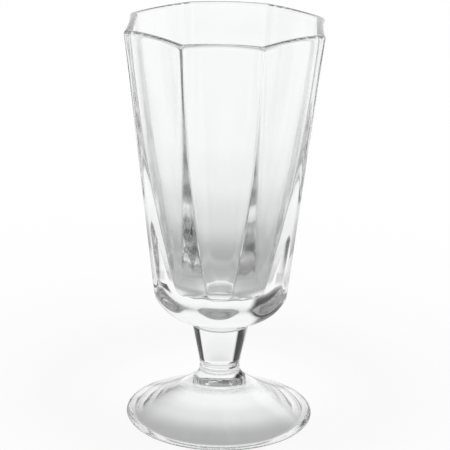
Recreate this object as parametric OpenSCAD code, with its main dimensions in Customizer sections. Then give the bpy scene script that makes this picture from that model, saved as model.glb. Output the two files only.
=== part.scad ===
// Stemmed shot glass in clear pressed glass.
// An eight-panelled bowl stands on a short conical stem and a swept round foot.
// Millimetres, +Z up, origin in the middle of the rest plane.

/* [Overall] */
// table to rim
glass_h = 101; // [96:0.5:108]
// turning smoothness of the preview
$fn = 96; // [48:8:160]

/* [Bowl outside] */
// across opposite panel middles at the rim
rim_af = 46.4; // [45.6:0.1:47.2]
// across opposite panel middles, carried down to the stem joint
root_af = 30.8; // [30:0.1:31.2]
// across opposite ridges at the rim
rim_ridge_d = 51.2; // [50.4:0.1:51.6]
// across opposite ridges, carried down to the stem joint
root_ridge_d = 31.6; // [31.2:0.1:32.4]
// hollow of each panel, as the radius of its long scoop
panel_scoop_r = 80; // [70:1:120]
// rounding between panels and underside
base_round = 10.5; // [9.5:0.1:11.2]
// fall of the rim outwards, as a slope
rim_fall = 0.2; // [0.1:0.01:0.3]
// bevel on both edges of the fire-polished rim
lip_bevel = 0.45; // [0.2:0.05:0.6]

/* [Bowl inside] */
// wall at the middle of a panel at the rim
rim_wall = 1.7; // [1.4:0.05:2.2]
// across opposite inner panels where the wall turns into the floor
cavity_low_af = 16.2; // [15:0.1:17.6]
// height of that place over the stem joint
cavity_low_z = 12.4; // [11.8:0.1:14]
// outward arch of the inner panels
cavity_arch_r = 240; // [200:5:400]
// rounding between inner panels and floor
floor_round = 6; // [4:0.1:7]

/* [Bowl collar] */
// lowest point of the rounded underside over the stem joint
underside_z = 1.1; // [1.05:0.05:1.6]
// fillet between stem joint and underside
collar_fillet = 1; // [0.8:0.05:1.05]

/* [Stem] */
// length between the two joint faces
stem_h = 11.3; // [9:0.1:14]
// joint face under the bowl
stem_top_d = 14.2; // [13.6:0.1:14.8]
// joint face on the foot
stem_neck_d = 9.7; // [9:0.1:10.4]

/* [Foot] */
// largest diameter
foot_d = 46.2; // [43:0.1:50]
// table to the stem joint
foot_h = 13.9; // [13.2:0.1:15]
// thickness of the rounded edge
edge_t = 2.1; // [1.6:0.1:2.2]
// clearance of the rounded edge above the table
edge_lift = 0.15; // [0.1:0.05:0.4]
// slope of the top where it reaches the edge, in degrees
edge_slope = 19.5; // [14:0.5:21]
// crease circle at the bottom of the neck
crease_d = 13; // [12:0.1:14]
// height of the crease circle
crease_z = 10.5; // [10:0.1:11.2]
// radius of the cove between crease and neck ring
cove_r = 8; // [5:0.1:14]
// height of the neck ring
ring_h = 1.1; // [0.7:0.05:1.3]
// how far the neck ring stands out
ring_out = 0.15; // [0.1:0.05:0.3]
// width of the ring that rests on the table
rest_w = 1.4; // [1:0.1:2.4]
// hollow of the underside in the middle
hollow_h = 9.6; // [7:0.1:9.8]
// rounding of the hollow's top
hollow_top_r = 18; // [11:0.5:19]

/* [Hidden] */
panels = 8;
step = 360 / panels;
cut = 1;
joint_z = foot_h + stem_h;
bowl_h = glass_h - joint_z;
// the rounding stands this far proud of the ridges at its widest
base_ease = 0.1;
// the floor is pressed flat by this much
floor_flat = 0.06;
// the floor rounding would reach this far past the inner panels
floor_ease = 0.05;
cone_slope = (rim_ridge_d - root_ridge_d) / bowl_h;
base_r = (root_ridge_d + cone_slope * (underside_z + base_round)) / 2 + base_ease;
base_at = [base_r - base_round, underside_z + base_round];
fillet_r = stem_top_d / 2 + collar_fillet;
fillet_at = [fillet_r, base_at[1] - sqrt(pow(base_round + collar_fillet, 2) - pow(fillet_r - base_at[0], 2))];
panel_lean = atan((rim_af - root_af) / 2 / bowl_h);
cavity_rim_af = rim_af - 2 * rim_wall;
cavity_rim = [cavity_rim_af / 2, bowl_h];
cavity_low = [cavity_low_af / 2, cavity_low_z];
cavity_at = arch_at(cavity_low, cavity_rim, cavity_arch_r);
floor_at = cavity_low + (floor_round - floor_ease) / cavity_arch_r * (cavity_at - cavity_low);
floor_z = floor_at[1] - floor_round + floor_flat;
crest_r = cavity_rim_af / 2 + lip_bevel;
bevel_at = [cavity_rim_af / 2 - lip_bevel, bowl_h - 2 * lip_bevel];
bevel_rise = 2 * lip_bevel + 2 * cut;
// every second inner panel is bevelled this much deeper
bevel_step = 0.02;
reach = 2 * glass_h;

edge_r = edge_t / 2;
edge_at = [foot_d / 2 - edge_r, edge_r + edge_lift];
// the resting ring ends this far inside the lowest circle of the rounded edge
rest_clear = 0.05;
rest_out_r = edge_at[0] - rest_clear;
rest_in_r = rest_out_r - rest_w;
sweep_dir = [sin(edge_slope), cos(edge_slope)];
sweep_end = edge_at + edge_r * sweep_dir;
crease_at = [crease_d / 2, crease_z];
sweep_chord = sweep_end - crease_at;
sweep_r = -(sweep_chord * sweep_chord) / (2 * (sweep_chord * sweep_dir));
sweep_at = sweep_end + sweep_r * sweep_dir;
hollow_at = [0, hollow_h - hollow_top_r];
hollow_flank = asin(hollow_top_r / norm([rest_in_r, hollow_at[1]])) - atan2(-hollow_at[1], rest_in_r);
hollow_meet = hollow_at + hollow_top_r * [sin(hollow_flank), cos(hollow_flank)];
cove_top = [stem_neck_d / 2, foot_h - ring_h];
cove_chord = cove_top - crease_at;
cove_mid = (cove_top + crease_at) / 2;
cove_at = cove_mid + [cove_chord[1], -cove_chord[0]] / norm(cove_chord)
    * sqrt(cove_r * cove_r - cove_chord * cove_chord / 4);

// middle of an arch of radius r that bulges outwards between two points of a half section
function arch_at(low, high, r) =
    let (chord = high - low)
    (low + high) / 2 + [-chord[1], chord[0]] / norm(chord) * sqrt(r * r - chord * chord / 4);

// eight-sided space whose side middles pass the given distance at the given height
module eight_sided(apothem, at_z, lean) {
    intersection_for (i = [0 : panels - 1])
        rotate([0, 0, i * step])
            translate([apothem, 0, at_z])
                rotate([0, lean, 0])
                    translate([-reach, -reach / 2, -reach / 2]) cube(reach);
}

// one long scoop that hollows a panel, kept to the width it needs
module panel_scoop() {
    translate([root_af / 2, 0, 0])
        rotate([0, panel_lean, 0])
            intersection() {
                translate([panel_scoop_r, 0, -reach / 2]) cylinder(r = panel_scoop_r, h = reach);
                translate([-cut, -rim_ridge_d / 4, -reach / 2])
                    cube([rim_ridge_d - rim_af, rim_ridge_d / 2, reach]);
            }
}

// the turned cone with its first n panels hollowed
module panelled(n) {
    if (n == 0) cylinder(d1 = root_ridge_d, d2 = rim_ridge_d + cone_slope * cut, h = bowl_h + cut);
    else difference() {
        panelled(n - 1);
        rotate([0, 0, n * step]) panel_scoop();
    }
}

// everything under the rim, which falls outwards so that the ridges end a little lower
module under_rim() {
    rotate_extrude()
        polygon([
            [0, 0], [rim_ridge_d, 0],
            [rim_ridge_d, bowl_h - rim_fall * (rim_ridge_d - crest_r)],
            [crest_r - cut, bowl_h + rim_fall * cut], [0, bowl_h + rim_fall * cut]
        ]);
}

// the turned underside: a fillet on the stem joint, then the round base, open above
module above_base() {
    rotate_extrude() {
        square([stem_top_d / 2, base_at[1]]);
        difference() {
            polygon([[0, fillet_at[1]], fillet_at, base_at, [0, base_at[1]]]);
            translate(fillet_at) circle(collar_fillet);
        }
        intersection() {
            translate(base_at) circle(base_round);
            square([base_r + cut, base_at[1]]);
        }
        translate([0, base_at[1]]) square([rim_ridge_d, bowl_h]);
    }
}

// section through two opposite inner panels: arched walls, a rounded floor and the bevel at the rim
module cavity_section(bevel_drop) {
    intersection() {
        translate(cavity_at) circle(cavity_arch_r, $fn = 8 * $fn);
        translate([-cavity_at[0], cavity_at[1]]) circle(cavity_arch_r, $fn = 8 * $fn);
        union() {
            translate([-rim_af / 2, cavity_low_z]) square([rim_af, bowl_h]);
            translate([-floor_at[0], 0]) square([2 * floor_at[0], cavity_low_z + cut]);
            for (side = [-1, 1])
                translate([side * floor_at[0], floor_at[1]]) circle(floor_round);
        }
    }
    translate([0, -bevel_drop]) polygon([
        [-bevel_at[0], bevel_at[1]], bevel_at,
        bevel_at + [bevel_rise, bevel_rise], [-bevel_at[0] - bevel_rise, bevel_at[1] + bevel_rise]
    ]);
}

// four inner panels, facing each other in two crossed pairs
module crossed_panels(bevel_drop) {
    intersection_for (a = [0, 90])
        rotate([90, 0, a]) linear_extrude(reach, center = true) cavity_section(bevel_drop);
}

module bowl_cavity() {
    intersection() {
        crossed_panels(0);
        rotate([0, 0, step]) crossed_panels(bevel_step);
        translate([0, 0, floor_z]) cylinder(d = reach, h = bowl_h + cut - floor_z);
    }
}

module bowl() {
    color("#e6eef0")
    translate([0, 0, joint_z])
    difference() {
        intersection() {
            panelled(panels);
            under_rim();
            above_base();
            eight_sided(rim_af / 2, bowl_h - rim_fall * rim_wall - lip_bevel, -45);
        }
        bowl_cavity();
    }
}

module stem() {
    color("#dfe9ec")
    translate([0, 0, foot_h])
        cylinder(d1 = stem_neck_d, d2 = stem_top_d, h = stem_h);
}

// the underside of the foot is hollowed as a cone with a round top
module hollow_section() {
    polygon([
        [0, -cut], [rest_in_r + cut / tan(hollow_flank), -cut], hollow_meet, [0, hollow_meet[1]]
    ]);
    intersection() {
        translate(hollow_at) circle(hollow_top_r, $fn = 4 * $fn);
        translate([0, hollow_meet[1]]) square([hollow_meet[0], hollow_top_r]);
    }
}

module foot_section() {
    difference() {
        polygon([
            [0, 0], [rest_out_r, 0], [edge_at[0], edge_lift], sweep_end, crease_at, [0, crease_z]
        ]);
        translate(sweep_at) circle(sweep_r, $fn = 4 * $fn);
        hollow_section();
    }
    translate(edge_at) circle(edge_r);
    difference() {
        polygon([
            [0, crease_z - cut], [crease_at[0] - cut, crease_z - cut], crease_at, cove_top, [0, cove_top[1]]
        ]);
        translate(cove_at) circle(cove_r);
    }
    translate([0, foot_h - ring_h]) square([stem_neck_d / 2, ring_h]);
    intersection() {
        translate([stem_neck_d / 2 + ring_out - ring_h / 2, foot_h - ring_h / 2]) circle(d = ring_h);
        translate([0, foot_h - ring_h]) square([stem_neck_d, ring_h]);
    }
}

module foot() {
    color("#d8e4e8")
    rotate_extrude() foot_section();
}

bowl();
stem();
foot();
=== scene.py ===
import math
import bmesh
import bpy
import numpy as np
from mathutils import Matrix, Vector


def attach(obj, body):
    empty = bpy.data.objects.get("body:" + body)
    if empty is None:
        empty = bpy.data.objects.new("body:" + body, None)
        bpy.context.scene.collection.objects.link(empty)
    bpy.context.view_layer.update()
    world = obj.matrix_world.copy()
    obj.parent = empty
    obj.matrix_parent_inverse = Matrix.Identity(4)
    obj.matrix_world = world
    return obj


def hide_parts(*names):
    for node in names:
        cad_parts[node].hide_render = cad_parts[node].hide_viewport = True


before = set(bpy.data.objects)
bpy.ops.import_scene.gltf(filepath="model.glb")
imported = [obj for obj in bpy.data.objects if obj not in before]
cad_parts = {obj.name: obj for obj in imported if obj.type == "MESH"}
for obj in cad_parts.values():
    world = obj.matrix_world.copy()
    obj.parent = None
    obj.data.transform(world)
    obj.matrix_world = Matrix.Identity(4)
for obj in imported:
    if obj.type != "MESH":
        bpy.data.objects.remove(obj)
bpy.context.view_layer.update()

scene = bpy.context.scene
mm = 0.001
panels = 8
sector = 2 * math.pi / panels
print("frame loaded:", len(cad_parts), "nodes")


def softMin(a, b, k):
    h = np.maximum(k - np.abs(a - b), 0) / k
    return np.minimum(a, b) - h * h * k / 4


def panelAngles(perPanel, crowd):
    u = np.linspace(-1, 1, perPanel + 1)[:-1]
    u = np.sign(u) * (1 - (1 - np.abs(u)) ** crowd)  # columns crowd towards the ridges
    return np.concatenate([i * sector + u * sector / 2 for i in range(panels)])


def ringRow(angles, radius, z):
    r = np.broadcast_to(radius, angles.shape)
    z = np.broadcast_to(z, angles.shape)
    return np.stack([r * np.cos(angles), r * np.sin(angles), z], -1)


def skinRows(name, rows, capFirst, capLast, seamCaps):
    bm = bmesh.new()
    rings = [[bm.verts.new(Vector(p) * mm) for p in row] for row in rows]
    n = len(rings[0])
    for low, high in zip(rings[:-1], rings[1:]):
        for i in range(n):
            j = (i + 1) % n
            bm.faces.new((low[i], low[j], high[j], high[i]))
    for ring, z, tag in ((rings[0], capFirst, "first"), (rings[-1], capLast, "last")):
        centre = bm.verts.new((0, 0, z * mm))
        for i in range(n):
            face = bm.faces.new((centre, ring[i], ring[(i + 1) % n]))
            face.material_index = 1 if tag in seamCaps else 0
    bmesh.ops.recalc_face_normals(bm, faces=bm.faces)
    mesh = bpy.data.meshes.new(name)
    bm.to_mesh(mesh)
    bm.free()
    mesh.polygons.foreach_set("use_smooth", [f.material_index == 0 for f in mesh.polygons])
    piece = bpy.data.objects.new(name, mesh)
    scene.collection.objects.link(piece)
    return piece


def arcPoints(centre, radius, start, end, count):
    return [(centre[0] + radius * math.cos(a), centre[1] + radius * math.sin(a))
            for a in np.linspace(math.radians(start), math.radians(end), count)]


def angleOf(point, centre):
    return math.degrees(math.atan2(point[1] - centre[1], point[0] - centre[0]))


heights = dict(rim=101.0, stemTop=25.2, neck=13.9)  # mm over the table

bowlSet = dict(
    rimFlats=46.4, rootFlats=30.8,        # across the panel middles, at the rim and carried to the stem
    rimRidges=51.2, rootRidges=31.6,      # across the ridges, likewise
    scoop=80.0,                           # radius of the panel hollow
    ridgeSoft=0.2, rimRidgeSoft=0.9, stripSoft=0.4,  # how much the ridges are melted
    rimStretch=6.0,                       # height under the rim where they melt more
    baseRound=10.5, baseEase=0.1, baseSoft=0.25,
    underside=1.1, collarFillet=1.0, collarRadius=7.1,
    rimWall=1.7, cavityLow=8.1, cavityLowHeight=37.6, cavityArch=240.0,
    innerRidgeSoft=0.3, innerSoftFull=8.0,  # inner ridges, full above this apothem
    floorRound=6.0,                       # each inner panel rounds into the floor
    rimFall=0.2, innerFall=0.5, fallStretch=14.0, lipHeight=0.75, crestIn=0.6,
    wallStart=0.6, perPanel=30, crowd=1.6,
    collarRows=3, filletRows=12, baseRows=44, wallRows=96, lipRows=17, cavityRows=120, floorRows=50,
)


def makeBowl(s):
    z0, z1 = heights["stemTop"], heights["rim"]
    tall = z1 - z0
    angles = panelAngles(s["perPanel"], s["crowd"])
    off = (angles + sector / 2) % sector - sector / 2      # angle from the panel's middle
    ones = np.ones_like(angles)

    def hollow(apothem, phi):
        r = apothem / np.cos(phi)
        for _ in range(4):
            r = (apothem + (r * np.sin(phi)) ** 2 / (2 * s["scoop"])) / np.cos(phi)
        return r

    def outerRadius(z, limit):
        t = (z - z0) / tall
        apothem = (s["rootFlats"] + (s["rimFlats"] - s["rootFlats"]) * t) / 2
        melt = max(0, (z - z1 + s["rimStretch"]) / s["rimStretch"]) ** 2
        soft = s["ridgeSoft"] + (s["rimRidgeSoft"] - s["ridgeSoft"]) * melt
        r = softMin(hollow(apothem, off), hollow(apothem, sector - np.abs(off)), soft)
        return softMin(r, limit * ones, s["stripSoft"])

    def coneRadius(z):
        return (s["rootRidges"] + (s["rimRidges"] - s["rootRidges"]) * (z - z0) / tall) / 2

    cavRim = s["rimFlats"] / 2 - s["rimWall"]
    chord = np.array([cavRim - s["cavityLow"], z1 - s["cavityLowHeight"]])
    half = np.linalg.norm(chord) / 2
    across = np.array([-chord[1], chord[0]]) / (2 * half)
    archMid = np.array([cavRim + s["cavityLow"], z1 + s["cavityLowHeight"]]) / 2
    archMid = archMid + across * math.sqrt(s["cavityArch"] ** 2 - half ** 2)

    def wallApothem(z):
        return archMid[0] + math.sqrt(s["cavityArch"] ** 2 - (z - archMid[1]) ** 2)

    fr, touchZ = s["floorRound"], s["cavityLowHeight"]
    lean = math.atan((wallApothem(touchZ + 0.01) - wallApothem(touchZ - 0.01)) / 0.02)
    roundMid = (s["cavityLow"] - fr * math.cos(lean), touchZ + fr * math.sin(lean))
    floorZ = roundMid[1] - fr

    def eightSided(apothem):
        soft = s["innerRidgeSoft"] * min(1, apothem / s["innerSoftFull"])
        return softMin(apothem / np.cos(off), apothem / np.cos(sector - np.abs(off)), soft)

    rows = []
    cr, cf, br = s["collarRadius"], s["collarFillet"], s["baseRound"]
    midZ = z0 + s["underside"] + br
    mid = np.array([coneRadius(midZ) + s["baseEase"] - br, midZ])
    fillet = np.array([cr + cf, midZ - math.sqrt((br + cf) ** 2 - (cr + cf - mid[0]) ** 2)])
    tangent = angleOf(fillet, mid)                         # where the fillet runs into the round base
    for z in np.linspace(z0, fillet[1], s["collarRows"]):
        rows.append(ringRow(angles, cr, z))
    for r, z in arcPoints(fillet, cf, 180, tangent + 180, s["filletRows"])[1:]:
        rows.append(ringRow(angles, r, z))
    for r, z in arcPoints(mid, br, tangent, 0, s["baseRows"])[1:]:
        limit = softMin(r, coneRadius(z), s["baseSoft"])
        rows.append(ringRow(angles, outerRadius(z, limit), z))
    lip = s["lipHeight"]
    crest = cavRim + s["crestIn"]

    def rimDrop(r):
        return s["rimFall"] * np.maximum(r - crest, 0)

    def follow(z):                                         # the last stretch follows the rim's fall
        return max(0, (z - z1 + s["fallStretch"]) / (s["fallStretch"] - lip)) ** 2

    for z in np.linspace(midZ + s["wallStart"], z1 - lip, s["wallRows"]):
        r = outerRadius(z, coneRadius(z))
        rows.append(ringRow(angles, r, z - follow(z) * rimDrop(r)))
    ro = outerRadius(z1 - lip, coneRadius(z1 - lip))
    ri = eightSided(wallApothem(z1 - lip))
    innerDrop = s["innerFall"] * rimDrop(ro)
    for a in np.linspace(0, math.pi, s["lipRows"])[1:-1]:
        r = (ro + ri) / 2 + (ro - ri) / 2 * math.cos(a)
        drop = rimDrop(r) * (1 + math.cos(a)) / 2 + innerDrop * (1 - math.cos(a)) / 2
        rows.append(ringRow(angles, r, z1 - lip + lip * math.sin(a) - drop))
    for z in np.linspace(z1 - lip, touchZ, s["cavityRows"]):
        rows.append(ringRow(angles, eightSided(wallApothem(z)), z - follow(z) * innerDrop))
    for r, z in arcPoints(roundMid, fr, -math.degrees(lean), -90, s["floorRows"])[1:]:
        rows.append(ringRow(angles, eightSided(r), z))
    for f in (0.8, 0.6, 0.4, 0.2):
        rows.append(ringRow(angles, eightSided(roundMid[0] * f), floorZ))
    return skinRows("bowlGlass", rows, z0, floorZ, ("first",))


bowl = makeBowl(bowlSet)
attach(bowl, "root")
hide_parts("bowl")
print("bowl:", len(bowl.data.polygons), "faces")

stemSet = dict(topRadius=7.1, neckRadius=4.85, steps=16, turns=192)


def roundAngles(count):
    return np.linspace(0, 2 * math.pi, count + 1)[:-1]


def makeStem(s):
    angles = roundAngles(s["turns"])
    lowZ, highZ = heights["neck"], heights["stemTop"]
    rows = []
    for t in np.linspace(0, 1, s["steps"]):
        r = s["neckRadius"] + (s["topRadius"] - s["neckRadius"]) * t
        rows.append(ringRow(angles, r, lowZ + (highZ - lowZ) * t))
    return skinRows("stemGlass", rows, lowZ, highZ, ("first", "last"))


stem = makeStem(stemSet)
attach(stem, "root")
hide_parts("stem")
print("stem:", len(stem.data.polygons), "faces")

footSet = dict(
    radius=23.1, edgeThick=2.1, edgeLift=0.15, edgeSlope=19.5,
    creaseRadius=6.5, creaseHeight=10.5,
    coveRadius=8.0, ringHeight=1.1, ringOut=0.15, neckRadius=4.85,
    restIn=20.6, restOut=22.0, restEase=0.3, restLift=0.04,
    hollow=9.6, hollowTop=18.0, poleAngle=0.04, turns=256,
    ringRows=12, coveRows=12, sweepRows=40, edgeRows=20, hollowRows=24,
)


def makeFoot(s):
    angles = roundAngles(s["turns"])
    top = heights["neck"]
    e = s["edgeThick"] / 2
    edge = np.array([s["radius"] - e, e + s["edgeLift"]])
    lean = math.radians(s["edgeSlope"])
    n = np.array([math.sin(lean), math.cos(lean)])
    sweepEnd = edge + e * n
    crease = np.array([s["creaseRadius"], s["creaseHeight"]])
    chord = sweepEnd - crease
    sweep = -(chord @ chord) / (2 * (chord @ n))
    sweepMid = sweepEnd + sweep * n
    profile = [(s["neckRadius"], top)]
    ringMid = (s["neckRadius"] + s["ringOut"] - s["ringHeight"] / 2, top - s["ringHeight"] / 2)
    half = math.degrees(math.acos((s["neckRadius"] - ringMid[0]) / (s["ringHeight"] / 2)))
    profile += arcPoints(ringMid, s["ringHeight"] / 2, half, -half, s["ringRows"])
    coveTop = np.array([s["neckRadius"], top - s["ringHeight"]])
    coveChord = coveTop - crease
    length = math.hypot(*coveChord)
    outward = np.array([coveChord[1], -coveChord[0]]) / length
    coveMid = (coveTop + crease) / 2 + outward * math.sqrt(s["coveRadius"] ** 2 - length ** 2 / 4)
    for centre, radius, first, last, rows in (
            (coveMid, s["coveRadius"], coveTop, crease, s["coveRows"]),
            (sweepMid, sweep, crease, sweepEnd, s["sweepRows"])):
        start, end = angleOf(first, centre) % 360, angleOf(last, centre) % 360
        profile += arcPoints(centre, radius, start, end, rows)[1:]
    profile += arcPoints(edge, e, 90 - s["edgeSlope"], -90, s["edgeRows"])[1:]
    profile += [(s["restOut"] + s["restEase"], s["restLift"]), (s["restOut"], 0.0)]
    profile += [((s["restOut"] + s["restIn"]) / 2, 0.0), (s["restIn"], 0.0)]
    drop = s["hollowTop"] - s["hollow"]                    # the hollow is a cone under a round top
    flank = math.asin(s["hollowTop"] / math.hypot(s["restIn"], drop))
    flank -= math.atan2(drop, s["restIn"])
    meet = (s["hollowTop"] * math.sin(flank), s["hollowTop"] * math.cos(flank) - drop)
    for f in np.linspace(0, 1, s["hollowRows"])[1:]:
        profile.append((s["restIn"] + (meet[0] - s["restIn"]) * f, meet[1] * f))
    for a in np.linspace(flank, s["poleAngle"], s["hollowRows"])[1:]:
        profile.append((s["hollowTop"] * math.sin(a), s["hollowTop"] * math.cos(a) - drop))
    rows = [ringRow(angles, r, z) for r, z in profile]
    return skinRows("footGlass", rows, top, s["hollow"], ("first",))


foot = makeFoot(footSet)
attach(foot, "root")
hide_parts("foot")
print("foot:", len(foot.data.polygons), "faces")

glassSet = dict(
    tint=(0.985, 0.99, 0.99, 1), roughness=0.07, ior=1.52,
    waveScale=60.0, waveDetail=1.0, waveStrength=0.1, waveDepth=1.0,  # the pressed surface is a little wavy
)


def newMaterial(name):
    mat = bpy.data.materials.new(name)
    mat.use_nodes = True
    return mat, mat.node_tree.nodes, mat.node_tree.links


def makeGlass(s):
    mat, nodes, links = newMaterial("clearGlass")
    shader = nodes["Principled BSDF"]
    shader.inputs["Base Color"].default_value = s["tint"]
    shader.inputs["Roughness"].default_value = s["roughness"]
    shader.inputs["IOR"].default_value = s["ior"]
    shader.inputs["Transmission Weight"].default_value = 1.0
    coords = nodes.new("ShaderNodeTexCoord")
    wave = nodes.new("ShaderNodeTexNoise")
    wave.inputs["Scale"].default_value = s["waveScale"]
    wave.inputs["Detail"].default_value = s["waveDetail"]
    bump = nodes.new("ShaderNodeBump")
    bump.inputs["Strength"].default_value = s["waveStrength"]
    bump.inputs["Distance"].default_value = s["waveDepth"] * mm
    links.new(coords.outputs["Object"], wave.inputs["Vector"])
    links.new(wave.outputs["Fac"], bump.inputs["Height"])
    links.new(bump.outputs["Normal"], shader.inputs["Normal"])
    return mat


def makeJoint():
    mat, nodes, links = newMaterial("fusedJoint")          # face inside the melted joint, no surface there
    nodes.clear()
    clear = nodes.new("ShaderNodeBsdfTransparent")
    out = nodes.new("ShaderNodeOutputMaterial")
    links.new(clear.outputs[0], out.inputs[0])
    return mat


glass, joint = makeGlass(glassSet), makeJoint()
for piece in (bowl, stem, foot):
    piece.data.materials.append(glass)
    piece.data.materials.append(joint)
print("glass ready")

studioSet = dict(
    floorSize=6.0, floorGap=0.2, cameraWhite=0.92,
    floorShadowShift=18.0,                                       # the floor's painted shadow tones run round a point behind the axis
    # painted shadow: the floor is greyed in a ring round the glass, darkest 34 to 42 mm out, as (mm from the point
    # behind the axis, grey tone)
    floorShadowTones=((0, 1.0), (12, 0.97), (22, 0.82), (34, 0.47), (42, 0.42), (69, 0.76), (107, 0.93), (158, 1.0)),
    skyTone=0.38, skyFrom=0.58, skyTo=0.72,                # above the set the room is grey
    darkTone=0.13, darkFacing=-140.0, darkFrom=0.2, darkTo=0.6,  # and dark on one side of the camera
)


def mathNode(nodes, links, kind, *values, clamp=False):    # values are sockets or plain numbers
    node = nodes.new("ShaderNodeMath")
    node.operation = kind
    node.use_clamp = clamp
    for socket, value in zip(node.inputs, values):
        if isinstance(value, bpy.types.NodeSocket):
            links.new(value, socket)
        else:
            socket.default_value = value
    return node.outputs[0]


def mixShaders(nodes, links, share, first, second):
    node = nodes.new("ShaderNodeMixShader")
    for socket, value in zip(node.inputs, (share, first, second)):
        links.new(value, socket)
    return node.outputs[0]


def mattePaper(nodes):
    paper = nodes["Principled BSDF"]
    paper.inputs["Roughness"].default_value = 1.0
    paper.inputs["Specular IOR Level"].default_value = 0.0
    return paper


def makeFloor(s):
    half = s["floorSize"] / 2
    corners = ((-half, -half), (half, -half), (half, half), (-half, half))
    mesh = bpy.data.meshes.new("floor")
    mesh.from_pydata([(x, y, -s["floorGap"] * mm) for x, y in corners], [], [(0, 1, 2, 3)])
    floor = bpy.data.objects.new("floor", mesh)
    scene.collection.objects.link(floor)
    mat, nodes, links = newMaterial("floorPaperPaintedShadow")
    paper = mattePaper(nodes)
    geometry = nodes.new("ShaderNodeNewGeometry")
    far = nodes.new("ShaderNodeVectorMath")
    far.operation = "DISTANCE"
    far.inputs[1].default_value = (0, s["floorShadowShift"] * mm, 0)
    links.new(geometry.outputs["Position"], far.inputs[0])
    last = s["floorShadowTones"][-1][0]
    # painted shadow: the paper's colour follows these tones by distance, darker near the glass where its shadow falls
    paintedShadow = nodes.new("ShaderNodeValToRGB")
    paintedShadow.color_ramp.interpolation = "EASE"
    stops = paintedShadow.color_ramp.elements
    while len(stops) < len(s["floorShadowTones"]):
        stops.new(0.5)
    for stop, (distance, tone) in zip(stops, s["floorShadowTones"]):
        stop.position = distance / last
        stop.color = (tone, tone, tone, 1)
    links.new(mathNode(nodes, links, "MULTIPLY", far.outputs["Value"], 1 / (last * mm)), paintedShadow.inputs["Fac"])
    links.new(paintedShadow.outputs["Color"], paper.inputs["Base Color"])
    shadowSeenByGlass = nodes.new("ShaderNodeEmission")                 # what the glass sees of the paper: the painted shadow tones, given out as light
    links.new(paintedShadow.outputs["Color"], shadowSeenByGlass.inputs["Color"])
    white = nodes.new("ShaderNodeEmission")                # what the camera sees of it
    light = nodes.new("ShaderNodeLightPath")
    byGlass = mathNode(nodes, links, "MAXIMUM", light.outputs["Is Glossy Ray"], light.outputs["Is Transmission Ray"])
    byCamera = mathNode(nodes, links, "MULTIPLY", light.outputs["Is Camera Ray"], s["cameraWhite"])
    look = mixShaders(nodes, links, byGlass, paper.outputs[0], shadowSeenByGlass.outputs[0])
    look = mixShaders(nodes, links, byCamera, look, white.outputs[0])
    links.new(look, nodes["Material Output"].inputs["Surface"])
    mesh.materials.append(mat)


# dark cards: far and rise in mm, span in degrees from straight behind, soft edge in degrees and as a share of the rise
# passed: rays with this many bounces whose last stretch is longer than so many mm go through the card
cardSet = dict(
    left=dict(far=90, span=(-62, -29), rise=(0.5, 20), tone=0.05, passed=((2, 88.0), (4, 0)), soft=(6, 0.5)),
    upper=dict(far=600, span=(-56, -23.5), rise=(20, 500), tone=0.02, passed=((4, 0),), soft=(8, 0.6)),
    right=dict(far=90, span=(33.5, 62), rise=(0.5, 20), tone=0.05, passed=((2, 88.0), (4, 0)), soft=(4, 0.4)),
    rightUp=dict(far=400, span=(33.5, 62), rise=(2, 79), tone=0.05, passed=((4, 0),), soft=(4, 0.4)),
    west=dict(far=90, span=(-84, -62), rise=(25, 95), tone=0.03, passed=((2, 0), (4, 0)), soft=(14, 0.8)),
    east=dict(far=90, span=(58, 82), rise=(25, 95), tone=0.05, passed=((2, 0), (4, 0)), soft=(14, 0.8)),
    westLow=dict(far=90, span=(-165, -100), rise=(2, 50), tone=0.02, passed=((2, 0), (4, 0)), soft=(14, 0.8)),
    eastLow=dict(far=90, span=(100, 165), rise=(2, 50), tone=0.02, passed=((2, 0), (4, 0)), soft=(14, 0.8)),
)
cardGrid = dict(columns=41, rows=21, floorRise=3.0)        # a card that starts under floorRise stands on the floor


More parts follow.
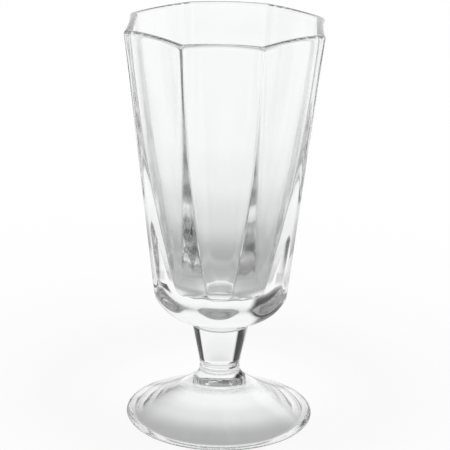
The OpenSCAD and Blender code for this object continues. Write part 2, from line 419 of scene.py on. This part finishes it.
def makeCard(name, s, grid):
    edge, lift = s["soft"][0], s["soft"][1] * (s["rise"][1] - s["rise"][0])
    onFloor = s["rise"][0] < grid["floorRise"]
    low, high = s["rise"][0] - (0 if onFloor else lift / 2), s["rise"][1] + lift / 2
    start, end = s["span"][0] - edge / 2, s["span"][1] + edge / 2

    def ease(x):
        x = min(1, max(0, x))
        return x * x * (3 - 2 * x)

    bm = bmesh.new()
    fade, rows = [], []
    for z in np.linspace(low, high, grid["rows"]):
        row = []
        for a in np.linspace(start, end, grid["columns"]):
            x, y = s["far"] * math.sin(math.radians(a)), s["far"] * math.cos(math.radians(a))
            row.append(bm.verts.new((x * mm, y * mm, z * mm)))
            sides = ease((a - start) / edge) * ease((end - a) / edge)
            fade.append(sides * ease((high - z) / lift) * (1 if onFloor else ease((z - low) / lift)))
        rows.append(row)
    for below, above in zip(rows[:-1], rows[1:]):
        for i in range(len(below) - 1):
            bm.faces.new((below[i], below[i + 1], above[i + 1], above[i]))
    mesh = bpy.data.meshes.new(name)
    bm.to_mesh(mesh)
    bm.free()
    mesh.attributes.new("fade", "FLOAT", "POINT").data.foreach_set("value", fade)
    card = bpy.data.objects.new(name, mesh)
    scene.collection.objects.link(card)
    mat, nodes, links = newMaterial(name)
    paper = mattePaper(nodes)
    paper.inputs["Base Color"].default_value = (s["tone"], s["tone"], s["tone"], 1)
    cover = nodes.new("ShaderNodeAttribute")
    cover.attribute_name = "fade"
    light = nodes.new("ShaderNodeLightPath")
    share = cover.outputs["Fac"]
    for bounces, reach in s["passed"]:
        same = mathNode(nodes, links, "COMPARE", light.outputs["Ray Depth"], bounces, 0.5)
        longer = mathNode(nodes, links, "GREATER_THAN", light.outputs["Ray Length"], reach * mm)
        passing = mathNode(nodes, links, "MULTIPLY", same, longer)
        share = mathNode(nodes, links, "SUBTRACT", share, passing, clamp=True)
    clear = nodes.new("ShaderNodeBsdfTransparent")
    look = mixShaders(nodes, links, share, clear.outputs[0], paper.outputs[0])
    links.new(look, nodes["Material Output"].inputs["Surface"])
    mesh.materials.append(mat)
    card.visible_camera = card.visible_diffuse = card.visible_shadow = False  # only the glass sees it


makeFloor(studioSet)
for side, card in cardSet.items():
    makeCard(side + "Flag", card, cardGrid)


def makeWorld(s):
    world = bpy.data.worlds.new("studioLight")
    scene.world = world
    world.use_nodes = True
    nodes, links = world.node_tree.nodes, world.node_tree.links
    coords = nodes.new("ShaderNodeTexCoord")
    axes = nodes.new("ShaderNodeSeparateXYZ")
    links.new(coords.outputs["Generated"], axes.inputs[0])

    def ramp(socket, low, high, start, end):
        node = nodes.new("ShaderNodeMapRange")
        node.interpolation_type = "SMOOTHSTEP"
        for name, value in (("From Min", low), ("From Max", high), ("To Min", start), ("To Max", end)):
            node.inputs[name].default_value = value
        links.new(socket, node.inputs["Value"])
        return node.outputs["Result"]

    sky = ramp(axes.outputs["Z"], s["skyFrom"], s["skyTo"], 1, s["skyTone"])
    facing = nodes.new("ShaderNodeVectorMath")
    facing.operation = "DOT_PRODUCT"
    links.new(coords.outputs["Generated"], facing.inputs[0])
    turn = math.radians(s["darkFacing"])
    facing.inputs[1].default_value = (math.sin(turn), math.cos(turn), 0)
    dark = ramp(facing.outputs["Value"], s["darkFrom"], s["darkTo"], 1, s["darkTone"])
    room = mathNode(nodes, links, "MINIMUM", sky, dark)
    light = nodes.new("ShaderNodeLightPath")
    plain = mathNode(nodes, links, "MAXIMUM", light.outputs["Is Camera Ray"], light.outputs["Is Diffuse Ray"])
    strength = mathNode(nodes, links, "MAXIMUM", plain, room)
    links.new(strength, nodes["Background"].inputs["Strength"])
    nodes["Background"].inputs["Color"].default_value = (1, 1, 1, 1)


makeWorld(studioSet)
print("studio ready")

cameraSet = dict(
    distance=510.1, height=220.5, turn=1.74, yaw=0.077, pitch=18.466, roll=1.091,  # mm and degrees
    focal=2200.8, frame=450, sensor=36.0,                  # focal and frame in pixels
)


def makeCamera(s):
    yaw, pitch, roll = (math.radians(s[k]) for k in ("yaw", "pitch", "roll"))
    ahead = Vector((math.sin(yaw) * math.cos(pitch), math.cos(yaw) * math.cos(pitch), -math.sin(pitch)))
    right = ahead.cross(Vector((0, 0, 1))).normalized()
    up = right.cross(ahead)
    c, n = math.cos(roll), math.sin(roll)
    right, up = c * right + n * up, c * up - n * right
    at = Vector((0, -s["distance"], s["height"])) * mm
    place = Matrix((
        (right.x, up.x, -ahead.x, at.x),
        (right.y, up.y, -ahead.y, at.y),
        (right.z, up.z, -ahead.z, at.z),
        (0, 0, 0, 1)))
    data = bpy.data.cameras.new("photoCamera")
    data.sensor_fit = "HORIZONTAL"
    data.sensor_width = s["sensor"]
    data.lens = data.sensor_width * s["focal"] / s["frame"]
    camera = bpy.data.objects.new("photoCamera", data)
    scene.collection.objects.link(camera)
    camera.matrix_world = Matrix.Rotation(math.radians(s["turn"]), 4, "Z") @ place
    scene.camera = camera


makeCamera(cameraSet)
bounceSet = dict(all=40, glossy=16, clear=32)             # thick glass needs long light paths
scene.view_settings.view_transform = "Standard"
scene.cycles.max_bounces = bounceSet["all"]
scene.cycles.transmission_bounces = bounceSet["all"]
scene.cycles.glossy_bounces = bounceSet["glossy"]
scene.cycles.transparent_max_bounces = bounceSet["clear"]
print("camera ready")
